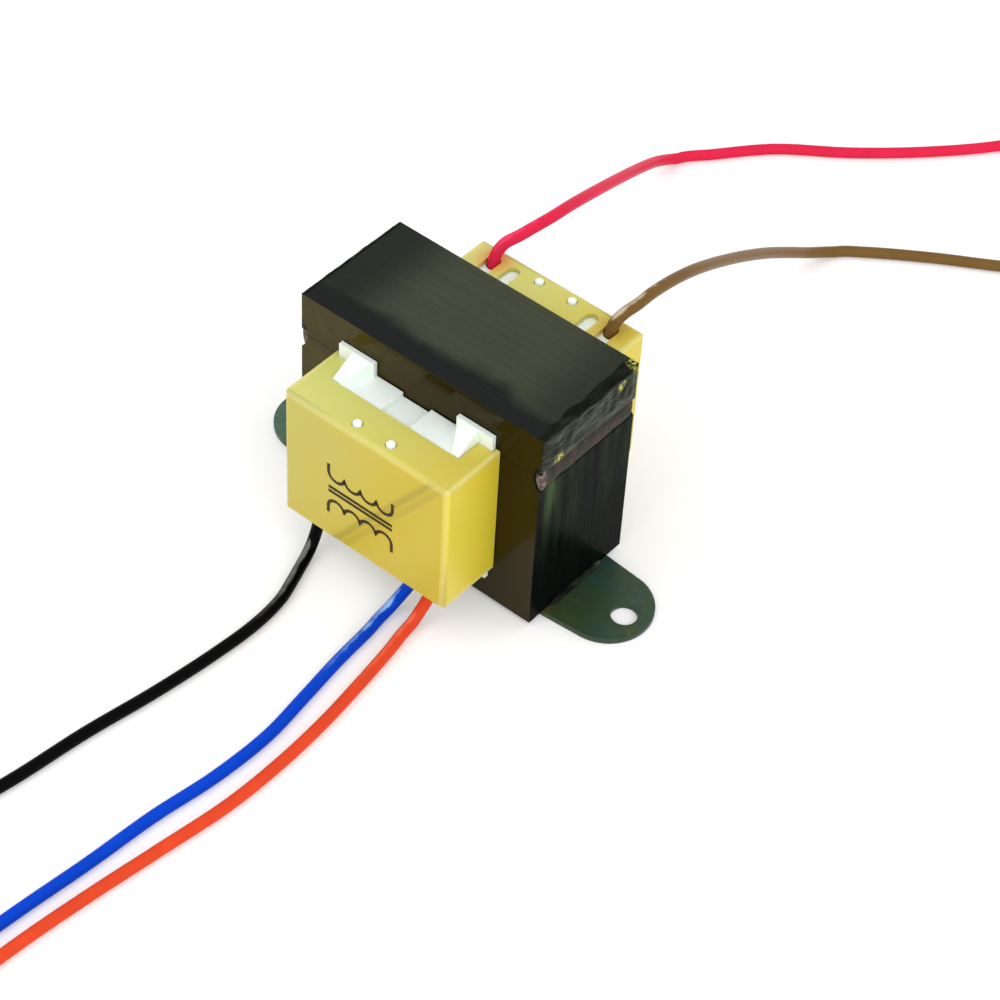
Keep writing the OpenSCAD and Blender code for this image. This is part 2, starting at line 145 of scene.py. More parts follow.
def add(tree, kind, inputs=(), stops=(), **settings):
    """Adds a node. inputs is a list, or a dict by name or number, of values, sockets or nodes,
    a node meaning its first output; stops fills a ramp."""
    made = tree.nodes.new("ShaderNode" + kind)
    for name, value in settings.items():
        setattr(made, name, value)
    for name, value in inputs.items() if isinstance(inputs, dict) else enumerate(inputs):
        if isinstance(value, bpy.types.Node):
            value = value.outputs[0]
        if isinstance(value, bpy.types.NodeSocket):
            tree.links.new(value, made.inputs[name])
        else:
            made.inputs[name].default_value = value
    if stops:
        ramp = made.color_ramp.elements
        while len(ramp) < len(stops):
            ramp.new(0.5)
        for element, (position, colour) in zip(ramp, stops):
            element.position, element.color = position, colour
    return made


def start_material(name, *patterns, **sockets):
    """A new material: returns it, its tree, the object's coordinates, and a noise for each
    pattern, which gives a size in millimetres, a detail and, if it has one, a distortion."""
    material = bpy.data.materials.new(name)
    material.use_nodes = True
    tree = material.node_tree
    for socket, value in sockets.items():
        tree.nodes["Principled BSDF"].inputs[socket.replace("_", " ")].default_value = value
    place = add(tree, "TexCoord").outputs["Object"]
    noises = [
        add(tree, "TexNoise", {"Vector": place, "Scale": 1 / (size * MM), "Detail": detail,
                               "Distortion": distortion[0] if distortion else 0.0})
        for size, detail, *distortion in patterns]
    return material, tree, place, *noises


def coats(tree, colour, *layers):
    """Lays colours over a colour; each layer says how much of it shows, and its colour."""
    for amount, layer in layers:
        colour = add(tree, "Mix", {0: amount, 6: colour, 7: layer}, data_type="RGBA").outputs[2]
    return colour


def shaded(tree, colour, shade):
    """Multiplies a colour by a shade, where 1 leaves it as it is."""
    tint = add(tree, "CombineColor", [shade] * 3)
    return add(tree, "Mix", {0: 1.0, 6: colour, 7: tint}, data_type="RGBA",
               blend_type="MULTIPLY").outputs[2]


def finish(tree, colour, rough=(), relief=()):
    """Links a shader's colour, its roughness, from a pattern's range to a range of roughness,
    and its relief: a pattern, how strong it is and its height in millimetres."""
    shader = tree.nodes["Principled BSDF"].inputs
    tree.links.new(colour, shader["Base Color"])
    if rough:
        tree.links.new(add(tree, "MapRange", rough).outputs[0], shader["Roughness"])
    if relief:
        pattern, strength, height = relief
        bump = add(tree, "Bump", {"Height": pattern, "Strength": strength, "Distance": height * MM})
        tree.links.new(bump.outputs[0], shader["Normal"])


def put(name, data):
    """Makes an object of a mesh, curve, lamp or camera and puts it in the scene."""
    made = bpy.data.objects.new(name, data)
    bpy.context.scene.collection.objects.link(made)
    return made


def ride(made, replaced=()):
    """Says that a piece belongs to the transformer, and the solids it stands for."""
    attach(made, BODY)
    if replaced:
        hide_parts(*replaced)
    return made


def loft(rings):
    """Joins rings of points into a closed skin with flat ends; returns vertices and faces."""
    sides = len(rings[0])
    vertices = [point for ring in rings for point in ring]
    faces = [tuple(range(sides))[::-1]]
    for i in range(0, len(vertices) - sides, sides):
        for k in range(sides):
            n = (k + 1) % sides
            faces.append((i + k, i + n, i + sides + n, i + sides + k))
    faces.append(tuple(len(vertices) - sides + k for k in range(sides)))
    return vertices, faces


def piece(name, form, materials, replaced=(), smooth=60):
    """Makes a mesh piece of a bmesh, smooth where faces turn by less than this angle."""
    bmesh.ops.recalc_face_normals(form, faces=form.faces)
    mesh = bpy.data.meshes.new(name)
    form.to_mesh(mesh)
    form.free()
    for material in materials:
        mesh.materials.append(material)
    mesh.shade_smooth()
    if smooth < 180:
        mesh.set_sharp_from_angle(angle=math.radians(smooth))
    return ride(put(name, mesh), replaced)


def joined(skins):
    """A bmesh of skins, each given as its vertices and faces."""
    form = bmesh.new()
    for vertices, faces in skins:
        made = [form.verts.new(v) for v in vertices]
        for face in faces:
            form.faces.new([made[i] for i in face])
    return form


def dress(node, material, radius=0.0):
    """Gives a CAD node its material and, by modifiers, rounded edges."""
    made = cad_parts[node]
    made.data.materials.clear()
    made.data.materials.append(material)
    made.modifiers.new("Joined", "WELD").merge_threshold = 0.001 * MM
    if radius:
        edges = made.modifiers.new("Edges", "BEVEL")
        edges.width = radius
        edges.segments = 2
        edges.limit_method = "ANGLE"
        edges.angle_limit = math.radians(40)
        edges.harden_normals = True


def wobble(x, y, z, size):
    """Smooth noise from -1 to 1 with features of this size."""
    return noise.noise(Vector((x, y, z)) / size)


# --- Materials ---
# Specular levels are low on dark and deep colours: their films are matt or thin, and would
# otherwise turn grey where a surface is seen at a low angle.


def varnish_on_sheet_edges(settings):
    """Electrical steel sheets, sheared, stacked and dipped in baking varnish: fine lines from
    sheet to sheet under a dull olive film, with painted shade in a blue-black border."""
    material, tree, place, cloud = start_material(
        "varnish_on_sheared_sheet_edges", (9, 3.0), Specular_IOR_Level=0.15,
        Specular_Tint=(0.9, 1.0, 0.8, 1.0))
    axes = add(tree, "SeparateXYZ", [place]).outputs
    # one value for each sheet, so neighbours differ a little
    number = add(tree, "Math", [axes["Y"], settings.sheet_pitch], operation="DIVIDE")
    number = add(tree, "Math", [number], operation="FLOOR")
    sheet = add(tree, "TexWhiteNoise", {"W": number}, noise_dimensions="1D").outputs["Value"]
    # sheared edges drag along the sheet: grain 0.15 mm wide and 3 mm long
    drag = add(tree, "Mapping", {0: place, "Scale": (1 / 3, 1 / 0.15, 1 / 3)})
    grain = add(tree, "TexNoise", {"Vector": drag, "Scale": 1 / MM, "Detail": 2.0})
    # painted shade: a blue-black border some 4 mm wide at the front edge, wider at the left end
    bent = add(tree, "MapRange", [cloud, 0.3, 0.7, -1.2 * MM, 1.2 * MM])
    depth = add(tree, "Math", [axes["Y"], bent], operation="ADD")
    border_shade = add(tree, "MapRange", [depth, -4.6 * MM, -8.6 * MM], **SOFT)
    for near, far, most in ((-9, -20, 0.85), (12, 22, 0.6)):
        end = add(tree, "MapRange", [axes["X"], near * MM, far * MM, 0.0, most], **SOFT)
        border_shade = add(tree, "Math", [border_shade, end], operation="MAXIMUM")
    film = coats(tree, settings.edge_film, (cloud, settings.edge_film_thin),
                 (border_shade, settings.edge_border_shade))
    film = shaded(tree, film, add(tree, "MapRange", {0: sheet, 3: 0.94, 4: 1.05}))
    finish(tree, film, (grain, 0.3, 0.7, 0.3, 0.45), (grain, 0.2, 0.02))
    return material


def varnish_on_sheet_ends(settings):
    """Electrical steel sheets, sheared and dipped on end: green-black varnish that drained
    downwards, hardly mirrors anything and left upright streaks, which fade into painted shade
    low down."""
    material, tree, place = start_material(
        "varnish_on_sheared_sheet_ends", Specular_IOR_Level=0.015,
        Specular_Tint=(0.8, 1.0, 0.75, 1.0))
    # streaks from 1.6 mm wide down to 0.2 mm, 16 mm long
    drain = add(tree, "Mapping", {0: place, "Scale": (1 / 16, 1 / 1.6, 1 / 16)})
    streak = add(tree, "TexNoise", {"Vector": drain, "Scale": 1 / MM, "Detail": 4.0,
                                    "Roughness": 0.6})
    axes = add(tree, "SeparateXYZ", [place]).outputs
    # painted shade: the pale streaks fade out below 22 mm, so the ends darken towards the foot
    thin = add(tree, "MapRange", [axes["Z"], 12 * MM, 22 * MM, 0.1, 1.0], **SOFT)
    pale = add(tree, "Math", [add(tree, "MapRange", [streak, 0.35, 0.7]), thin],
               operation="MULTIPLY")
    # a drip of clear varnish down from the front end of the weld, 2 mm wide
    drip = add(tree, "Math", [axes["Y"], settings.drip_place], operation="SUBTRACT")
    drip = add(tree, "Math", [drip], operation="ABSOLUTE")
    drip = add(tree, "MapRange", [drip, 2.2 * MM, 0.1 * MM])
    fall = add(tree, "MapRange", [axes["Z"], 19 * MM, 29 * MM], **SOFT)
    ridge = add(tree, "MapRange", [streak, 0.4, 0.6, 0.0, 0.9])
    for part in (fall, ridge):
        drip = add(tree, "Math", [drip, part], operation="MULTIPLY")
    film = coats(tree, settings.end_film, (pale, settings.end_film_thin),
                 (drip, settings.end_drip))
    finish(tree, film, (streak, 0.3, 0.7, 0.2, 0.34), (streak, 0.15, 0.03))
    return material


def varnish_on_sheet_faces(settings):
    """Electrical steel, rolled and dipped in baking varnish: a near-black brown face, glossy
    enough to mirror the mouldings in front of it, lighter towards the left end by a painted
    reflection in flowing patches."""
    material, tree, place, flow, wave = start_material(
        "varnish_on_rolled_sheet_faces", (7, 2.0), (4, 0.0), IOR=1.52, Specular_IOR_Level=0.17,
        Specular_Tint=(1.0, 0.8, 0.0, 1.0))
    along = add(tree, "SeparateXYZ", [place]).outputs["X"]
    # painted reflection: lighter towards the left end, in flowing patches of thin film
    thin = add(tree, "MapRange", [along, 10 * MM, -18 * MM])
    thin = add(tree, "Math", [thin, flow], operation="MULTIPLY")
    film = coats(tree, settings.face_film, (thin, settings.face_thin_film_and_reflection))
    finish(tree, film, (flow, 0.35, 0.65, 0.05, 0.12), (wave, 0.2, 0.05))
    return material


def varnish_run(settings):
    """Baking varnish, run, wiped along the stack and set in lumps: dark green glass, grey-green
    where it was wiped thin and paler with painted sheen, painted highlights along its scratches
    and yellow-green painted highlights on its drops."""
    material, tree, place, fine = start_material(
        "baked_varnish_run", (0.5, 2.0), IOR=1.52, Specular_IOR_Level=0.04,
        Specular_Tint=(0.9, 1.0, 0.75, 1.0))
    axes = add(tree, "SeparateXYZ", [place]).outputs
    # wiped while it was soft: patches 4 mm long, and scratches 6 mm long with painted highlights
    wiped = add(tree, "Mapping", {0: place, "Scale": (1 / 1.3, 1 / 4, 1 / 1.3)})
    lump = add(tree, "TexNoise", {"Vector": wiped, "Scale": 1 / MM, "Detail": 4.0,
                                  "Distortion": 0.8})
    scratch = add(tree, "Mapping", {0: place, "Rotation": (0.35, 0.0, 0.0),
                                    "Scale": (1 / 3, 1 / 6, 1 / 0.35)})
    streak = add(tree, "TexNoise", {"Vector": scratch, "Scale": 1 / MM, "Detail": 2.0})
    # the palest patches are thin varnish lightened with painted sheen
    tint = add(tree, "ValToRGB", [lump], [(0.36, settings.run_dark), (0.52, settings.run_green),
                                          (0.7, settings.run_pale_and_sheen)])
    # painted highlights: pale lines along the scratches
    ridge = add(tree, "MapRange", [streak, 0.52, 0.68, 0.0, 0.7])
    # darker where it lies over the top edge, and low down along the foot but for its rear end
    over = add(tree, "MapRange", [axes["Z"], 40 * MM, 41 * MM, 0.0, 0.8])
    foot = add(tree, "MapRange", [axes["Z"], 4 * MM, 3 * MM, 0.0, 0.75])
    rear = add(tree, "MapRange", [axes["Y"], 6 * MM, 3.5 * MM])
    foot = add(tree, "Math", [foot, rear], operation="MULTIPLY")
    tint = coats(tree, tint, (ridge, settings.run_pale_and_sheen), (over, settings.run_dark),
                 (foot, settings.run_dark))
    crumb = add(tree, "MapRange", [fine, 0.44, 0.54])
    # painted highlights on the clear drops, broken into crumbs
    for drop, size in RUN_DROP_HIGHLIGHTS:
        far = add(tree, "VectorMath", [place, [c * MM for c in drop]], operation="DISTANCE")
        lit = add(tree, "MapRange", [far.outputs["Value"], size * MM, 0.3 * size * MM])
        lit = add(tree, "Math", [lit, crumb], operation="MULTIPLY")
        tint = coats(tree, tint, (lit, settings.run_drop_highlight))
    finish(tree, tint, (fine, 0.3, 0.7, 0.12, 0.45), (lump, 0.6, 0.3))
    return material


def weld_bead(settings):
    """Steel weld, as laid and dipped in varnish: brown-grey and pinkish patches with dark scale,
    bare and pale where the bead begins, spotted there with painted glints, and a painted
    highlight along its toe."""
    material, tree, place, patch, chips, grit = start_material(
        "steel_weld_under_varnish", (2.2, 4.0, 0.5), (0.8, 3.0), (0.6, 3.0), Metallic=0.1,
        Specular_IOR_Level=0.06)
    tint = add(tree, "ValToRGB", [patch], [
        (0.34, settings.weld_scale), (0.5, settings.weld_film), (0.64, settings.weld_rust),
        (0.76, settings.weld_film)])
    axes = add(tree, "SeparateXYZ", [place]).outputs
    # the bare start of the bead, spotted with painted glints
    start = add(tree, "MapRange", [axes["Y"], -9.8 * MM, -10.8 * MM])
    chips = add(tree, "MapRange", [chips, 0.45, 0.6, 0.25, 1.0])
    start = add(tree, "Math", [start, chips], operation="MULTIPLY")
    # painted highlight: a pale line along the toe
    toe = settings.weld_toe
    toe = add(tree, "MapRange", [axes["Z"], toe + 0.5 * MM, toe, 0.0, 0.35])
    bare = add(tree, "Math", [start, toe], operation="MAXIMUM")
    finish(tree, coats(tree, tint, (bare, settings.weld_bare_and_highlight)), (patch, 0.3, 0.7, 0.35, 0.6),
           (grit, 0.5, 0.1))
    return material


def passivated_plate(settings):
    """Cold-rolled steel, zinc plated, passivated dark green and dipped in varnish: cloudy
    blue-green and olive patches with a dark sheared edge."""
    material, tree, place, cloud, fine = start_material(
        "green_passivated_steel", (9, 2.0, 0.6), (1.2, 4.0), Metallic=0.2, Roughness=0.35,
        Coat_Weight=0.12, Coat_Roughness=0.2)
    # the dye bath left one ear lighter than the other, and olive at the near corner
    axes = add(tree, "SeparateXYZ", [place]).outputs
    for axis, low, high, least, most in (
            ("X", -30, 30, 0.04, -0.06), ("Y", -2, -8, 0.0, 0.1), ("X", 31, 37, 0.0, 0.14)):
        lean = add(tree, "MapRange", [axes[axis], low * MM, high * MM, least, most])
        cloud = add(tree, "Math", [cloud, lean], operation="ADD")
    tint = add(tree, "ValToRGB", [cloud], [
        (0.4, settings.plate_blue), (0.5, settings.plate_green), (0.62, settings.plate_olive),
        (0.76, settings.plate_yellow)])
    light = add(tree, "MapRange", [axes["X"], -26 * MM, -33 * MM, 0.0, 0.7])
    # the sheared edge and the wall of the hole stayed darker
    facing = add(tree, "SeparateXYZ", [add(tree, "TexCoord").outputs["Normal"]]).outputs["Z"]
    edge = add(tree, "MapRange", [facing, 0.9, 0.4, 0.0, 0.75])
    specks = add(tree, "MapRange", [fine, 0.4, 0.7, 0.0, 0.35])
    tint = coats(tree, tint, (light, settings.plate_light), (edge, settings.plate_dark),
                 (specks, settings.plate_dark))
    finish(tree, tint, (fine, 0.3, 0.7, 0.28, 0.5), (fine, 0.2, 0.03))
    return material


def moulded_nylon(settings):
    """Unfilled nylon, injection moulded: white with a cool cast, waxy and slightly see-through."""
    material, tree, _, cloud, fine = start_material(
        "natural_nylon_moulded", (6, 2.0), (0.35, 2.0), IOR=1.53, Roughness=0.4,
        Subsurface_Weight=0.25, Subsurface_Scale=1 * MM, Subsurface_Radius=(1.0, 1.0, 1.0))
    finish(tree, coats(tree, settings.nylon, (cloud, settings.nylon_cool)),
           (fine, 0.3, 0.7, 0.34, 0.5), (fine, 0.1, 0.02))
    return material


def amber_cover_plastic(settings):
    """Amber nylon, injection moulded with a thin wall: waxy yellow, warmer low down, with painted
    light that makes it paler towards the upper left and on the top wall and brighter on the side
    walls, painted highlights along its edges, the red and the brown lead's colours round their
    slots, and the shadow of a wire inside."""
    # the fine grain of a spark-eroded mould, 0.1 mm on the real cover, is drawn at 0.4 mm
    material, tree, place, cloud, grain = start_material(
        "amber_nylon_moulded", (9, 2.0), (0.4, 1.0), IOR=1.53, Subsurface_Weight=0.2,
        Subsurface_Scale=0.8 * MM, Subsurface_Radius=(1.0, 0.75, 0.2))
    axes = add(tree, "SeparateXYZ", [place]).outputs
    # painted light: paler at one end and high up, warmer towards the other and towards the foot
    lean = add(tree, "VectorMath", [place, (1.0, 0.0, -0.5)], operation="DOT_PRODUCT")
    cast = add(tree, "MapRange", [cloud, 0.1, 0.9, -8 * MM, 8 * MM])
    lean = add(tree, "Math", [lean.outputs["Value"], cast], operation="ADD")
    lean = add(tree, "MapRange", [lean, -30 * MM, 0.0], **SOFT)
    # how near a point is to each outer wall: half the cover's size inside and outside its wall
    near = []
    middle = {"Z": settings.cover_middle}
    for axis, inside, outside in (("X", 15.4, 16.25), ("Y", 23.1, 23.95), ("Z", 11.8, 12.65)):
        reach = axes[axis]
        if axis in middle:
            reach = add(tree, "Math", [reach, middle[axis]], operation="SUBTRACT")
        reach = add(tree, "Math", [reach], operation="ABSOLUTE")
        near.append(add(tree, "MapRange", [reach, inside * MM, outside * MM], **SOFT))
    # painted light: the side walls brighter and deeper yellow
    deep = add(tree, "Math", [near[0], 0.7], operation="MULTIPLY")
    # painted light: the top and bottom walls paler, more so towards the left end
    painted_top_light = add(tree, "MapRange", [axes["X"], -14 * MM, 14 * MM, 0.6, 0.2])
    painted_top_light = add(tree, "Math", [near[2], painted_top_light], operation="MULTIPLY")
    tint = coats(tree, settings.amber_lit, (lean, settings.amber), (deep, settings.amber_side_light),
                 (painted_top_light, settings.amber_top_light))
    # a wire pressed against the inside of the wide wall: two soft lines, 1.5 mm apart
    slope = math.atan2(23.9, 18.1)
    for offset, weight in ((0.0, 0.6), (1.5, 0.35)):
        line = add(tree, "VectorMath", [place, (math.sin(slope), 0.0, -math.cos(slope))],
                   operation="DOT_PRODUCT")
        start = (-6.4 * math.sin(slope) - 8.0 * math.cos(slope) + offset) * MM
        line = add(tree, "Math", [line.outputs["Value"], start], operation="SUBTRACT")
        line = add(tree, "Math", [line], operation="ABSOLUTE")
        line = add(tree, "MapRange", [line, 0.9 * MM, 0.2 * MM, 0.0, weight], **SOFT)
        line = add(tree, "Math", [line, near[1]], operation="MULTIPLY")
        tint = coats(tree, tint, (line, settings.amber_shadow))
    # painted highlights on the edges, where two walls meet
    for first, second in ((0, 1), (1, 2), (0, 2)):
        edge = add(tree, "Math", [near[first], near[second]], operation="MULTIPLY")
        edge = add(tree, "Math", [edge, 0.6], operation="MULTIPLY")
        tint = coats(tree, tint, (edge, settings.amber_edge_highlight))
    # round where the red and the brown lead leave, the cover takes on their colours
    for name, glow in (("red", settings.amber_red), ("brown", settings.amber_brown)):
        far = add(tree, "VectorMath", [place, EXITS[name]], operation="DISTANCE")
        lit = add(tree, "MapRange", [far.outputs["Value"], 4.2 * MM, 1.2 * MM, 0.0, 0.6], **SOFT)
        tint = coats(tree, tint, (lit, glow))
    finish(tree, tint, (cloud, 0.1, 0.9, 0.29, 0.42), (grain, 0.12, 0.02))
    return material


def enamelled_wire(settings):
    """Copper wire, drawn, enamelled and wound: orange turns side by side. The real wire is
    0.2 mm, drawn here 0.35 mm thick so that the turns show."""
    material, tree, place = start_material(
        "enamelled_copper_wire", Metallic=0.8, Roughness=0.3, Coat_Weight=0.5)
    turns = add(tree, "TexWave", {"Vector": place, "Scale": 1 / (0.35 * MM) / WAVE_BANDS,
                                  "Distortion": 0.2}, bands_direction="Z").outputs[1]
    finish(tree, coats(tree, settings.wire_shadow, (turns, settings.wire)),
           relief=(turns, 0.8, 0.15))
    return material


def film_tape(settings):
    """Polyester film tape, coated yellow and wound: smooth, glossy, with soft wrinkles."""
    material, tree, _, wrinkle = start_material(
        "yellow_polyester_tape", (3, 3.0), IOR=1.6, Roughness=0.2)
    finish(tree, coats(tree, settings.tape, (wrinkle, settings.tape_light)),
           relief=(wrinkle, 0.3, 0.2))
    return material


def braided_sleeve(settings):
    """Glass braid sleeve, dipped in resin: a fine criss-cross of threads 0.4 mm wide."""
    material, tree, place = start_material("resin_dipped_glass_sleeve", Roughness=0.5)
    threads = add(tree, "TexWave", {"Vector": place, "Scale": 1 / (0.4 * MM) / WAVE_BANDS},
                  bands_direction="DIAGONAL").outputs[1]
    finish(tree, coats(tree, settings.sleeve, (threads, settings.sleeve_light)),
           relief=(threads, 0.5, 0.1))
    return material


def extruded_pvc(name, colour):
    """Soft PVC, extruded over the conductor: an even satin colour, with a pale painted highlight
    along the upper side of the first 20 mm or so from the cover."""
    material, tree, place, cloud, ragged = start_material(
        name + "_pvc_extruded", (5, 3.0), (2.5, 2.0), IOR=1.54, Specular_IOR_Level=GLOSS[name])
    # painted highlight: a pale line along the upper side, broken every few millimetres
    normal = add(tree, "TexCoord").outputs["Normal"]
    upper = add(tree, "VectorMath", [normal, (-0.2, -0.35, 0.9)], operation="DOT_PRODUCT")
    ragged = add(tree, "MapRange", [ragged, 0.3, 0.7, -0.1, 0.03])
    streak = add(tree, "Math", [upper.outputs["Value"], ragged], operation="ADD")
    streak = add(tree, "MapRange", [streak, 0.78, 0.92, 0.0, 0.85])
    far = add(tree, "VectorMath", [place, EXITS[name]], operation="DISTANCE")
    near = add(tree, "MapRange", [far.outputs["Value"], 24 * MM, 8 * MM], **SOFT)
    streak = add(tree, "Math", [streak, near], operation="MULTIPLY")
    tint = shaded(tree, colour, add(tree, "MapRange", [cloud, 0.3, 0.7, 0.93, 1.06]))
    finish(tree, coats(tree, tint, (streak, rgb(LEAD_HIGHLIGHTS[name]))), (cloud, 0.2, 0.8, 0.28, 0.4),
           (cloud, 0.2, 0.1))
    return material


def tinned_strands(settings):
    """Copper strands, twisted and dip tinned: bright grey metal with a frosty grain."""
    material, tree, _, frost = start_material("tinned_copper_strands", (0.3, 3.0), Metallic=1.0)
    finish(tree, coats(tree, settings.tin, (frost, settings.tin_dull)),
           (frost, 0.3, 0.7, 0.2, 0.45))
    return material


def stamped_ink(settings):
    """Solvent ink, stamped on: a matt brown-black film, thin and grey where the stamp lifted."""
    material, tree, _, spots = start_material("stamped_ink", (0.5, 2.0), Specular_IOR_Level=0.2)
    worn = add(tree, "MapRange", [spots, 0.5, 0.75, 0.0, 0.6])
    finish(tree, coats(tree, settings.ink, (worn, settings.ink_worn)), {0: spots, 3: 0.5, 4: 0.7})
    return material


# --- Leads ---


def smooth_line(points, parts=6):
    """A smooth line through every point: centripetal Catmull-Rom."""
    p = [Vector(q) * MM for q in points]
    p = [2 * p[0] - p[1], *p, 2 * p[-1] - p[-2]]
    line = []
    for a, b, c, d in zip(p, p[1:], p[2:], p[3:]):
        t1 = (b - a).length ** 0.5
        t2 = t1 + (c - b).length ** 0.5
        t3 = t2 + (d - c).length ** 0.5
        for k in range(parts):
            t = t1 + (t2 - t1) * k / parts
            ab, bc, cd = (a.lerp(b, t / t1), b.lerp(c, (t - t1) / (t2 - t1)),
                          c.lerp(d, (t - t2) / (t3 - t2)))
            abc, bcd = ab.lerp(bc, t / t2), bc.lerp(cd, (t - t1) / (t3 - t1))
            line.append(abc.lerp(bcd, (t - t1) / (t2 - t1)))
    line.append(p[-2])
    return line


def spiral(start, coil, length, pitch, step=1 * MM):
    """Winds a flat inward coil from start for this length, a step at a time."""
    middle = Vector((coil[0] * MM, coil[1] * MM, start.z))
    arm = start - middle
    radius, angle = arm.length, math.atan2(arm.y, arm.x)
    points = []
    count = max(1, round(length / step))
    for _ in range(count):
        turn = length / count / radius
        angle += coil[2] * turn
        radius -= pitch * turn / math.tau
        points.append(middle + Vector((math.cos(angle), math.sin(angle), 0)) * radius)
    return points


def strand_along(line, radius, offset=0.0, twist=0.0, phase=0.0, sides=8):
    """The skin of a wire along a line, or of a strand twisted round it at an offset."""
    rings, side = [], Vector((0, 0, 1))
    travelled = 0.0
    for i, point in enumerate(line):
        ahead = (line[min(i + 1, len(line) - 1)] - line[max(i - 1, 0)]).normalized()
        u = (side - side.dot(ahead) * ahead).normalized()
        v = ahead.cross(u)
        if i:
            travelled += (point - line[i - 1]).length
        turn = phase + travelled * twist
        middle = point + offset * (math.cos(turn) * u + math.sin(turn) * v)
        rings.append([
            middle + radius * (math.cos(a) * u + math.sin(a) * v)
            for a in (math.tau * k / sides for k in range(sides))])
    return loft(rings)


class TransformerLeads(bpy.types.PropertyGroup):
    """Sizes and colours of the five leads."""

    diameter: length_setting("Diameter", "Diameter over the insulation", 2 * MM)
    length: length_setting("Length", "Whole length of each lead", 250 * MM)
    tip: length_setting("Bare tip", "Stripped and tinned length", 8 * MM)
    pitch: length_setting(
        "Coil pitch", "Distance between two turns of the put-away coil", 2.2 * MM)
    red: colour_setting("Red", "Red insulation", "#e22a4c")
    brown: colour_setting("Brown", "Brown insulation", "#765729")
    black: colour_setting("Black", "Black insulation", "#050505")
    blue: colour_setting("Blue", "Blue insulation", "#0644cc")
    orange: colour_setting("Orange", "Orange insulation", "#e24a2a")
    tin: colour_setting("Tin", "Bright tin", "#d4d6d8")
    tin_dull: colour_setting("Dull tin", "Frosted tin", "#a4a6a8")


class TRANSFORMER_OT_leads(bpy.types.Operator):
    """Lay the five leads, wind their spare length and strip their tips"""

    bl_idname = "transformer.leads"
    bl_label = "Leads"

    def execute(self, context):
        settings = context.scene.transformer_leads
        tin = tinned_strands(settings)
        for name, route in ROUTES.items():
            self.lay(name, route, settings, tin)
        return {"FINISHED"}

    def lay(self, name, route, settings, tin):
        """Lays one lead along its route, then along its coil, the last stretch of it bare."""
        radius = settings.diameter / 2
        line = smooth_line(route)
        for point in line:
            point.z = max(point.z, radius)
        laid = sum((b - a).length for a, b in zip(line, line[1:]))
        spare = settings.length - settings.tip - laid
        if spare < settings.tip:
            raise RuntimeError(f"the {name} lead is shorter than its route")
        coil = spiral(line[-1], COILS[name], spare + settings.tip, settings.pitch)
        covered = round(len(coil) * spare / (spare + settings.tip))
        line += coil[:covered]
        curve = bpy.data.curves.new(name + "_lead_cable", "CURVE")
        curve.dimensions = "3D"
        curve.bevel_depth = radius
        curve.bevel_resolution = 5
        curve.use_fill_caps = True
        spline = curve.splines.new("POLY")
        spline.points.add(len(line) - 1)
        for target, point in zip(spline.points, line):
            target.co = (*point, 1)
        spline.use_smooth = True
        curve.materials.append(extruded_pvc(name, getattr(settings, name)))
        cable = ride(put(name + "_lead_cable", curve),
                     [name + "_lead", name + "_lead_coil"])
        # seven strands, together a little over half as thick as the insulation
        strand = 0.19 * settings.diameter / 2
        inside = [line[-2], *coil[covered - 1:]]
        skins = [strand_along(inside, strand)]
        for k in range(6):
            skins.append(strand_along(
                inside, strand, 2 * strand, math.tau / STRAND_LAY, math.tau * k / 6))
        end = piece(name + "_tinned_tip", joined(skins), [tin])


# --- Core ---


class TransformerCore(bpy.types.PropertyGroup):
    """Sizes and colours of the sheets and their varnish."""

    sheet_count: bpy.props.IntProperty(
        name="Sheets", description="Number of E sheets and of I sheets", default=46, min=2)
    sheet_pitch: length_setting("Pitch", "Pitch of the sheets", 0.5 * MM)
    sheet_gap: length_setting("Film", "Varnish film between two sheets", 0.02 * MM)
    misfit: length_setting("Misfit", "Most that a sheet stands out of line", 0.015 * MM)
    edge: length_setting("Edge", "Rounding of a sheared edge", 0.02 * MM)
    groove_height: length_setting("Groove height", "Height of the weld groove", 6 * MM)
    groove_depth: length_setting("Groove depth", "Depth of the weld groove", 1.2 * MM)
    edge_film: colour_setting("Edge film", "Varnish on the sheared edges", "#373b2d")
    edge_film_thin: colour_setting("Thin edge film", "The same where it is thin", "#414535")
    # painted shade in a border at the front edge and the ends of the core's top
    edge_border_shade: colour_setting("Pooled film", "The same where it ran together", "#0d1113")
    end_film: colour_setting("End film", "Varnish on the ends of the sheets", "#070a09")
    end_film_thin: colour_setting("Thin end film", "The same where it is thin", "#222e1d")
    end_drip: colour_setting("Drip", "A drip of clear varnish on the ends", "#465a3c")
    drip_place: length_setting(
        "Drip place", "Where the drip runs down, along the stack", -8.4 * MM)
    face_film: colour_setting("Face film", "Varnish on the outer sheets", "#181000")
    # also a painted reflection, towards the left end of the face
    face_thin_film_and_reflection: colour_setting("Thin face film", "The same where it is thin", "#4a4018")


def arc(middle, radius, first, last, parts=6):
    """Points of an arc in X and Z, angles in degrees."""
    angles = [math.radians(first + (last - first) * k / parts) for k in range(parts + 1)]
    return [(middle[0] + radius * math.cos(a), middle[1] + radius * math.sin(a)) for a in angles]


def sheet_outlines(settings):
    """Outlines of an E sheet and an I sheet in X and Z, from the core's own boxes."""
    right, low, high = CORE_HIGH.x, CORE_LOW.z, CORE_HIGH.z
    joint, lift = E_HIGH.z, I_LOW.z
    leg = (high - low) / 5
    half, deep = settings.groove_height / 2, settings.groove_depth
    radius = (half * half + deep * deep) / (2 * deep)
    swing = math.degrees(math.asin(half / radius))
    middle = (right - deep + radius, joint)
    lower, upper = arc(middle, radius, 180 + swing, 180), arc(middle, radius, 180, 180 - swing)
    upper[0] = (upper[0][0], lift)
    window = low + leg
    slots = [(2 * leg, joint), (2 * leg, window), (leg, window), (leg, joint)]
    return [side + [(-x, z) for x, z in reversed(side)]
            for side in ([(right, low), *lower, *slots], [*upper, (right, high)])]


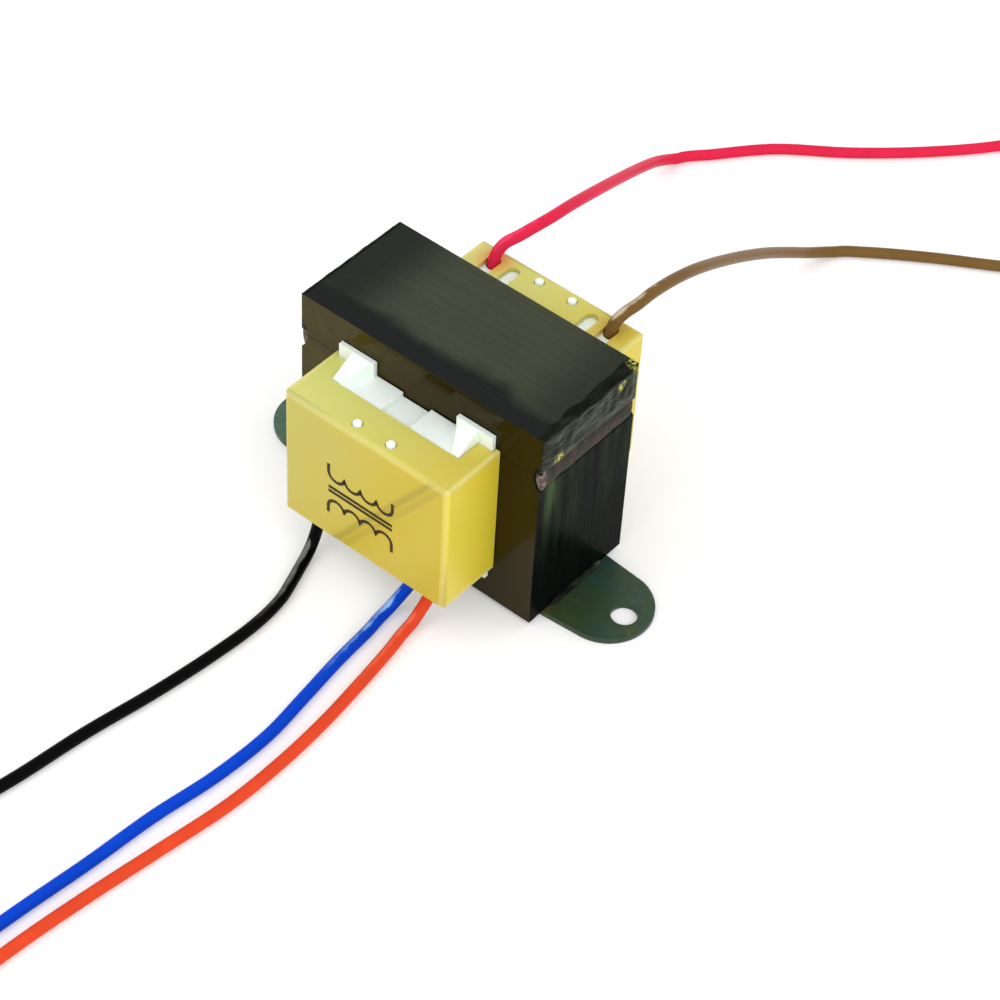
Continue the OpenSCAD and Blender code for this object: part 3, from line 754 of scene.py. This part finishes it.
class TRANSFORMER_OT_core(bpy.types.Operator):
    """Stack the E and I sheets, each a little out of line, under their varnish"""

    bl_idname = "transformer.core"
    bl_label = "Core sheets"

    def execute(self, context):
        settings = context.scene.transformer_core
        # the order of stack's material numbers: edges 0, faces 1, ends 2
        skins = [varnish_on_sheet_edges(settings), varnish_on_sheet_faces(settings),
                 varnish_on_sheet_ends(settings)]
        e_outline, i_outline = sheet_outlines(settings)
        for letter, outline, seed in (("e", e_outline, 7), ("i", i_outline, 11)):
            piece(letter + "_sheets", self.stack(outline, settings, random.Random(seed)), skins,
                  [letter + "_laminations"], smooth=30)
        return {"FINISHED"}

    def stack(self, outline, settings, chance):
        """The sheets of one outline, each moved by chance."""
        form = bmesh.new()
        thick, count = settings.sheet_pitch - settings.sheet_gap, len(outline)
        for i in range(settings.sheet_count):
            y = CORE_LOW.y + i * settings.sheet_pitch + settings.sheet_gap / 2
            dx = chance.uniform(-1, 1) * settings.misfit
            dz = chance.uniform(-1, 1) * settings.misfit
            near = [form.verts.new((x + dx, y, z + dz)) for x, z in outline]
            far = [form.verts.new((x + dx, y + thick, z + dz)) for x, z in outline]
            faces = [form.faces.new(near), form.faces.new(far[::-1])]
            for face in faces:
                face.material_index = 1
            for k in range(count):
                n = (k + 1) % count
                edge = form.faces.new((near[n], near[k], far[k], far[n]))
                if abs(outline[k][0] - outline[n][0]) < abs(outline[k][1] - outline[n][1]):
                    edge.material_index = 2
            rim = [e for face in faces for e in face.edges]
            bmesh.ops.bevel(form, geom=rim, offset=settings.edge, segments=1, affect="EDGES",
                            material=-1)
        return form


# --- Welds and varnish runs ---

BEAD_HEIGHT = 5.2 * MM
# How far the middle of a bead lies inside the end face, and how far it stands out endwise
BEAD_INSET, BEAD_PROUD = 0.8 * MM, 0.06 * MM
# Where a varnish run begins above the floor, and how it rounds the core's top edge
RUN_FOOT, RUN_CORNER = 33.7 * MM, 0.4 * MM
# How deep the back of a run lies inside the core
RUN_BACK = 0.8 * MM


class TransformerWelds(bpy.types.PropertyGroup):
    """Sizes and colours of the weld beads and the varnish that ran over them."""

    bead: length_setting("Bead radius", "Radius of a joint weld", 1.15 * MM)
    ripple: length_setting("Ripple", "Pitch of the bead's ripples", 0.9 * MM)
    fillet: length_setting("Fillet", "Leg of a foot weld", 0.8 * MM)
    weld_toe: length_setting("Weld toe", "Height of the lower edge of a joint weld", 29.7 * MM)
    weld_scale: colour_setting("Weld scale", "Dark scale on a weld", "#1f211a")
    weld_film: colour_setting("Weld film", "Varnish on a weld", "#302e25")
    weld_rust: colour_setting("Weld rust", "Pinkish oxide on a weld", "#4e3a33")
    # also painted glints on the start and a painted highlight along the toe
    weld_bare_and_highlight: colour_setting("Bright weld", "Bare start and toe of a weld", "#94827a")
    run_dark: colour_setting("Dark run", "Thick varnish", "#0a0e08")
    run_green: colour_setting("Green run", "Varnish run", "#22291c")
    # also painted sheen, and the painted highlights along the scratches
    run_pale_and_sheen: colour_setting("Pale run", "Thin varnish run", "#4c5040")
    # painted highlight on the clear drops
    run_drop_highlight: colour_setting("Drop", "Clear drops of varnish", "#c0c05c")


class TRANSFORMER_OT_welds(bpy.types.Operator):
    """Lay the joint welds, the foot welds and the varnish runs at the ends of the core"""

    bl_idname = "transformer.welds"
    bl_label = "Welds and varnish runs"

    def execute(self, context):
        settings = context.scene.transformer_welds
        metal, varnish = weld_bead(settings), varnish_run(settings)
        for side, word in ((-1, "left"), (1, "right")):
            weld = word + "_joint_weld"
            piece(word + "_joint_bead", joined([self.bead(side, *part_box(weld), settings)]),
                  [metal], [weld])
            piece(word + "_varnish_run", joined([self.run(side)]), [varnish],
                  smooth=180)
        fillets = joined([self.fillet(side, settings) for side in (-1, 1)])
        piece("foot_beads", fillets, [varnish], ["foot_welds"])
        return {"FINISHED"}

    def bead(self, side, low, high, settings, steps=150, sides=24):
        """A rippled bead that fills the groove, swollen at its front end."""
        middle_x = side * (CORE_HIGH.x - BEAD_INSET)
        top = settings.weld_toe + BEAD_HEIGHT
        middle_z, tall = (settings.weld_toe + top) / 2, (top - settings.weld_toe) / 2
        rings = []
        for i in range(steps + 1):
            t = i / steps
            y = low.y - BEAD_PROUD + (high.y - low.y + 2 * BEAD_PROUD) * t
            # the ends close to 85% over the last 4% of the length; the first tenth is swollen
            close = min(t, 1 - t) / 0.04
            end = 0.85 + 0.15 * math.sqrt(max(0.0, 1 - (1 - close) ** 2)) if close < 1 else 1.0
            swell = 1 + 0.22 * max(0.0, 1 - t / 0.1)
            ring = []
            for k in range(sides):
                a = math.tau * k / sides
                wave = math.sin(math.tau * (y - 0.5 * MM * math.cos(a) * side) / settings.ripple)
                r = end * (1.0 + 0.012 * wave + 0.1 * wobble(y, a * MM, side, 2.5 * MM))
                # a flattened round, whose inner side reaches the bottom of the groove
                out = math.copysign(abs(math.cos(a)) ** 0.6, math.cos(a))
                out *= 1.3 if out < 0 else 1
                ring.append((middle_x + side * 0.8 * settings.bead * swell * r * out, y,
                             middle_z + tall * r * math.sin(a)))
            rings.append(ring)
        return loft(rings)

    def run(self, side, across=110):
        """Lumpy varnish from the weld up the end of the I sheets and over their top edge."""
        face, top = CORE_HIGH.x, CORE_HIGH.z
        rings = []
        for i in range(across + 1):
            t = i / across
            y = CORE_LOW.y + 0.1 * MM + (CORE_HIGH.y - CORE_LOW.y - 0.2 * MM) * t
            # only the right run laps well over the top, and more so to the rear
            lap = 0.1 * MM
            if side > 0:
                lap = (0.9 + 0.6 * wobble(y, side, 0, 2.6 * MM) + 0.8 * t) * MM
            # the path: up the end, round the corner and over the top
            path = [(face, RUN_FOOT + (top - RUN_FOOT - RUN_CORNER) * k / 20, 1.0, 0.0)
                    for k in range(21)]
            path += [(face - RUN_CORNER * (1 - math.cos(a)), top - RUN_CORNER * (1 - math.sin(a)),
                      math.cos(a), math.sin(a))
                     for a in (math.pi / 8, math.pi / 4, math.pi * 3 / 8)]
            path += [(face - RUN_CORNER - lap * k / 6, top, 0.0, 1.0) for k in range(7)]
            ring = []
            for k, (x, z, out, rise) in enumerate(path):
                s = k / (len(path) - 1)
                lump = 0.5 + 0.5 * wobble(y, side, z - x, 1.5 * MM)
                drop = 0.5 + 0.5 * wobble(3 * y, 5 + side, z - x, 5 * MM)
                fade = min(1.0, 5 * s, 5 * (1 - s), 0.2 + 12 * t, 0.2 + 12 * (1 - t))
                h = 0.03 + fade * (0.12 + 0.3 * lump * drop + 0.22 * t * lump) * (1 - 0.7 * rise)
                # in millimetres: a thin skin, lumps, more to the rear and less on top; the last
                # point dips under the top of the core
                h = h * MM if s < 1.0 else -0.05 * MM
                ring.append((side * (x + h * out), y, z + h * rise))
            ring += [(side * (face - RUN_BACK), y, z) for z in (top - RUN_BACK, RUN_FOOT)]
            rings.append(ring)
        return loft(rings)

    def fillet(self, side, settings, steps=60, sides=8):
        """A lumpy fillet in the corner between the plate and the core."""
        low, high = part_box("foot_welds")
        x, z = side * (CORE_HIGH.x - 0.05 * MM), CORE_LOW.z - 0.05 * MM
        rings = []
        for i in range(steps + 1):
            t = i / steps
            y = low.y + (high.y - low.y) * t
            size = settings.fillet * (0.9 + 0.18 * wobble(y, side, 0, 1.2 * MM))
            size *= min(1.0, 0.3 + 8 * min(t, 1 - t))
            turns = [math.pi / 2 * k / (sides - 1) for k in range(sides)]
            rings.append([(x, y, z)] + [
                (x + side * size * math.cos(a), y, z + size * math.sin(a)) for a in turns])
        return loft(rings)


# --- Foot plate ---


class TransformerPlate(bpy.types.PropertyGroup):
    """Edges and colours of the foot plate."""

    edge: length_setting("Edge", "Rounding of the plate's edges", 0.12 * MM)
    plate_green: colour_setting("Green", "Passivated steel", "#2f4a33")
    plate_light: colour_setting("Light green", "Its lighter left ear", "#4c7460")
    plate_blue: colour_setting("Blue-green", "Its cool patches", "#284a42")
    plate_olive: colour_setting("Olive", "Its warm patches", "#2f4829")
    plate_yellow: colour_setting("Yellow", "Its yellow streaks", "#55581c")
    plate_dark: colour_setting("Dark", "Its sheared edge and dark specks", "#18301e")


class TRANSFORMER_OT_plate(bpy.types.Operator):
    """Finish the foot plate"""

    bl_idname = "transformer.plate"
    bl_label = "Foot plate"

    def execute(self, context):
        settings = context.scene.transformer_plate
        dress("mounting_plate", passivated_plate(settings), settings.edge)
        return {"FINISHED"}


# --- Mouldings, coil and mark ---


class TransformerMouldings(bpy.types.PropertyGroup):
    """Sizes and colours of the bobbin, the covers, the coil and the mark."""

    bobbin_edge: length_setting("Bobbin edge", "Rounding of the bobbin's edges", 0.1 * MM)
    nylon: colour_setting("Nylon", "Bobbin", "#f8fff6")
    nylon_cool: colour_setting("Cool nylon", "Bobbin, cool patches", "#eefdf6")
    cover_middle: length_setting(
        "Cover middle", "Height of the middle of the covers", (COVER_LOW.z + COVER_HIGH.z) / 2)
    amber: colour_setting("Amber", "Covers", "#d0b822")
    # painted light at the lighter end, on the top and bottom walls and on the side walls; painted
    # highlights along the edges
    amber_lit: colour_setting("Light amber", "Covers, lighter end", "#c8bb48")
    amber_top_light: colour_setting("Milky amber", "Top and bottom walls of a cover", "#dce288")
    amber_side_light: colour_setting("Deep amber", "Side walls of a cover", "#ecd840")
    amber_edge_highlight: colour_setting("Amber edge", "Edges of a cover", "#e2d68e")
    # the cover's colour round the slots where these leads leave
    amber_red: colour_setting("Red glow", "The red lead seen through a cover", "#e48a34")
    amber_brown: colour_setting("Brown glow", "The brown lead seen through a cover", "#c89a34")
    amber_shadow: colour_setting("Amber shadow", "Shadow of the wire inside", "#a89430")
    wire: colour_setting("Wire", "Enamelled wire", "#c86a34")
    wire_shadow: colour_setting("Wire shadow", "Between two turns", "#5c2810")
    tape: colour_setting("Tape", "Tape round the coil", "#d8b93c")
    tape_light: colour_setting("Light tape", "Tape, light wrinkles", "#e6cc58")
    sleeve_edge: length_setting("Sleeve edge", "Rounding of a splice sleeve's ends", 0.15 * MM)
    sleeve: colour_setting("Sleeve", "Splice sleeve", "#b8a04c")
    sleeve_light: colour_setting("Light sleeve", "Splice sleeve, top of a thread", "#d8c680")
    ink: colour_setting("Ink", "Stamped mark", "#33260c")
    ink_worn: colour_setting("Worn ink", "Stamped mark, where it is thin", "#7c6a2c")
    mark_stroke: length_setting("Stroke", "Width of the mark's strokes", 0.6 * MM)


class TRANSFORMER_OT_bobbin(bpy.types.Operator):
    """Finish the bobbin"""

    bl_idname = "transformer.bobbin"
    bl_label = "Bobbin"

    def execute(self, context):
        settings = context.scene.transformer_mouldings
        dress("bobbin", moulded_nylon(settings), settings.bobbin_edge)
        return {"FINISHED"}


class TRANSFORMER_OT_coil(bpy.types.Operator):
    """Finish the windings, their tape and the splice sleeves"""

    bl_idname = "transformer.coil"
    bl_label = "Coil"

    def execute(self, context):
        settings = context.scene.transformer_mouldings
        wire, tape, sleeve = enamelled_wire(settings), film_tape(settings), braided_sleeve(settings)
        for section in ("primary", "secondary"):
            dress(section + "_winding", wire)
            dress(section + "_tape", tape)
        for name in ROUTES:
            dress(name + "_splice", sleeve, settings.sleeve_edge)
        return {"FINISHED"}


class TRANSFORMER_OT_covers(bpy.types.Operator):
    """Finish the two covers"""

    bl_idname = "transformer.covers"
    bl_label = "Covers"

    def execute(self, context):
        plastic = amber_cover_plastic(context.scene.transformer_mouldings)
        for name in ("front_cover", "rear_cover"):
            dress(name, plastic)
        return {"FINISHED"}


class TRANSFORMER_OT_mark(bpy.types.Operator):
    """Stamp the circuit symbol of a transformer on the front cover"""

    bl_idname = "transformer.mark"
    bl_label = "Mark"

    def execute(self, context):
        settings = context.scene.transformer_mouldings
        left, right, low, high = -7.0 * MM, 6.0 * MM, 14.2 * MM, 24.8 * MM
        stub, core_gap = 1.5 * MM, 0.45 * MM
        hump = (right - left) / 4
        radius = hump / 2
        upper, lower = high - stub - radius, low + stub + radius
        lines = []
        for base, way, end in ((upper + radius, -1, high), (lower - radius, 1, low)):
            wave = [(left, end), (left, base)]
            for k in range(4):
                middle = left + (k + 0.5) * hump
                wave += [(middle - radius * math.cos(math.pi * i / 12),
                          base + way * radius * math.sin(math.pi * i / 12)) for i in range(1, 13)]
            lines.append(wave + [(right, end)])
        for z in ((upper + lower) / 2 - core_gap, (upper + lower) / 2 + core_gap):
            lines.append([(left, z), ((left + right) / 2, z), (right, z)])
        skins = [self.stroke(line, settings.mark_stroke) for line in lines]
        piece("front_mark", joined(skins), [stamped_ink(settings)], smooth=30)
        return {"FINISHED"}

    def stroke(self, line, width):
        """A flat closed ribbon along a line in X and Z, on the front of the cover."""
        rings = []
        inner, outer = COVER_LOW.y + 0.02 * MM, COVER_LOW.y - 0.02 * MM
        for i, (x, z) in enumerate(line):
            before, after = line[max(i - 1, 0)], line[min(i + 1, len(line) - 1)]
            way = Vector((after[0] - before[0], after[1] - before[1])).normalized()
            across = Vector((-way.y, way.x)) * width / 2
            rings.append([(x + way * across.x, y, z + way * across.y) for way, y in (
                (1, inner), (-1, inner), (-1, outer), (1, outer))])
        return loft(rings)


# --- Stage and camera ---


class TransformerStage(bpy.types.PropertyGroup):
    """Floor, lamps and camera."""

    floor: colour_setting("Floor", "Pale floor", "#f4f4f4")
    half_floor: length_setting("Half floor", "Half the width of the floor", 6.0)
    key: bpy.props.FloatProperty(
        name="Key lamp", description="Power of the lamp in front", default=4.2, unit="POWER")
    fill: bpy.props.FloatProperty(
        name="Fill lamp", description="Power of the lamp to the right", default=5.2, unit="POWER")
    lens: bpy.props.FloatProperty(
        name="Lens", description="Focal length of the camera", default=109.06, unit="CAMERA")


class TRANSFORMER_OT_stage(bpy.types.Operator):
    """Lay the floor, hang the lamps and set up the camera"""

    bl_idname = "transformer.stage"
    bl_label = "Stage"

    def execute(self, context):
        settings = context.scene.transformer_stage
        self.lay_floor(settings)
        self.hang_lamps(context.scene, settings)
        self.set_camera(context.scene, settings)
        context.scene.view_settings.view_transform = "Standard"
        return {"FINISHED"}

    def lay_floor(self, settings):
        """A plain floor that looks white to the camera and in reflections, and keeps its shadow."""
        material, tree, _ = start_material(
            "matt_white_board", Roughness=0.9, Base_Color=settings.floor,
            Emission_Color=rgb("#ffffff"))
        path = add(tree, "LightPath").outputs
        seen = path["Is Camera Ray"]
        for ray in ("Is Glossy Ray", "Is Transmission Ray"):
            seen = add(tree, "Math", [seen, path[ray]], operation="MAXIMUM").outputs[0]
        lift = add(tree, "Math", [seen, 0.2], operation="MULTIPLY").outputs[0]
        tree.links.new(lift, tree.nodes["Principled BSDF"].inputs["Emission Strength"])
        mesh = bpy.data.meshes.new("floor")
        half = settings.half_floor
        mesh.from_pydata([(-half, -half, 0), (half, -half, 0), (half, half, 0), (-half, half, 0)],
                         [], [(0, 1, 2, 3)])
        mesh.materials.append(material)
        put("floor", mesh)

    def hang_lamps(self, scene, settings):
        """A pale world and two large soft lamps."""
        scene.world = bpy.data.worlds.new("pale_studio")
        scene.world.use_nodes = True
        tree = scene.world.node_tree
        path = add(tree, "LightPath").outputs["Is Camera Ray"]
        strength = add(tree, "MapRange", {0: path, 3: 0.87, 4: 1.0}).outputs[0]
        background = tree.nodes["Background"].inputs
        background["Color"].default_value = rgb("#ffffff")
        tree.links.new(strength, background["Strength"])
        for name, place, power in (("key_lamp", (-0.3, -0.9, 1.2), settings.key),
                                   ("fill_lamp", (1.1, -0.5, 0.8), settings.fill)):
            lamp = bpy.data.lights.new(name, "AREA")
            lamp.shape, lamp.size, lamp.energy = "SQUARE", 1.0, power
            made = put(name, lamp)
            made.location = place
            made.rotation_euler = (-Vector(place)).to_track_quat("-Z", "Y").to_euler()

    def set_camera(self, scene, settings):
        """The camera: 37 degrees round, 46 degrees up and turned a little about its own line."""
        around, up, roll = math.radians(37.208), math.radians(45.92), math.radians(3.678)
        place = (0.210759, -0.266955, 0.35494)
        back = Vector((
            math.sin(around) * math.cos(up), -math.cos(around) * math.cos(up), math.sin(up)))
        right = Vector((0, 0, 1)).cross(back).normalized()
        above = back.cross(right)
        turned = math.cos(roll) * right + math.sin(roll) * above
        above = -math.sin(roll) * right + math.cos(roll) * above
        lens = bpy.data.cameras.new("camera")
        lens.sensor_width, lens.lens = 36.0, settings.lens
        lens.clip_start, lens.clip_end = 0.01, 50.0
        scene.camera = put("camera", lens)
        scene.camera.matrix_world = Matrix.Translation(place) @ Matrix(
            (turned, above, back)).transposed().to_4x4()


# --- Panel and registration ---

OPERATORS = (
    TRANSFORMER_OT_stage, TRANSFORMER_OT_leads, TRANSFORMER_OT_core, TRANSFORMER_OT_welds,
    TRANSFORMER_OT_plate, TRANSFORMER_OT_bobbin, TRANSFORMER_OT_coil, TRANSFORMER_OT_covers,
    TRANSFORMER_OT_mark,
)
SETTINGS = {
    "transformer_leads": TransformerLeads, "transformer_core": TransformerCore,
    "transformer_welds": TransformerWelds, "transformer_plate": TransformerPlate,
    "transformer_mouldings": TransformerMouldings, "transformer_stage": TransformerStage,
}


class TRANSFORMER_PT_panel(bpy.types.Panel):
    """Lists the pieces in the order in which they are built"""

    bl_idname = "TRANSFORMER_PT_panel"
    bl_label = "Laminated transformer"
    bl_space_type = "VIEW_3D"
    bl_region_type = "UI"
    bl_category = "Transformer"

    def draw(self, context):
        for operator in OPERATORS:
            self.layout.operator(operator.bl_idname, text=operator.bl_label)


def register():
    for kind in (*SETTINGS.values(), *OPERATORS, TRANSFORMER_PT_panel):
        bpy.utils.register_class(kind)
    for name, kind in SETTINGS.items():
        setattr(bpy.types.Scene, name, bpy.props.PointerProperty(type=kind))


def unregister():
    for name in SETTINGS:
        delattr(bpy.types.Scene, name)
    for kind in (TRANSFORMER_PT_panel, *reversed(OPERATORS), *reversed(list(SETTINGS.values()))):
        bpy.utils.unregister_class(kind)


def main():
    register()
    for operator in OPERATORS:
        group, name = operator.bl_idname.split(".")
        getattr(getattr(bpy.ops, group), name)()


if __name__ == "__main__":
    main()
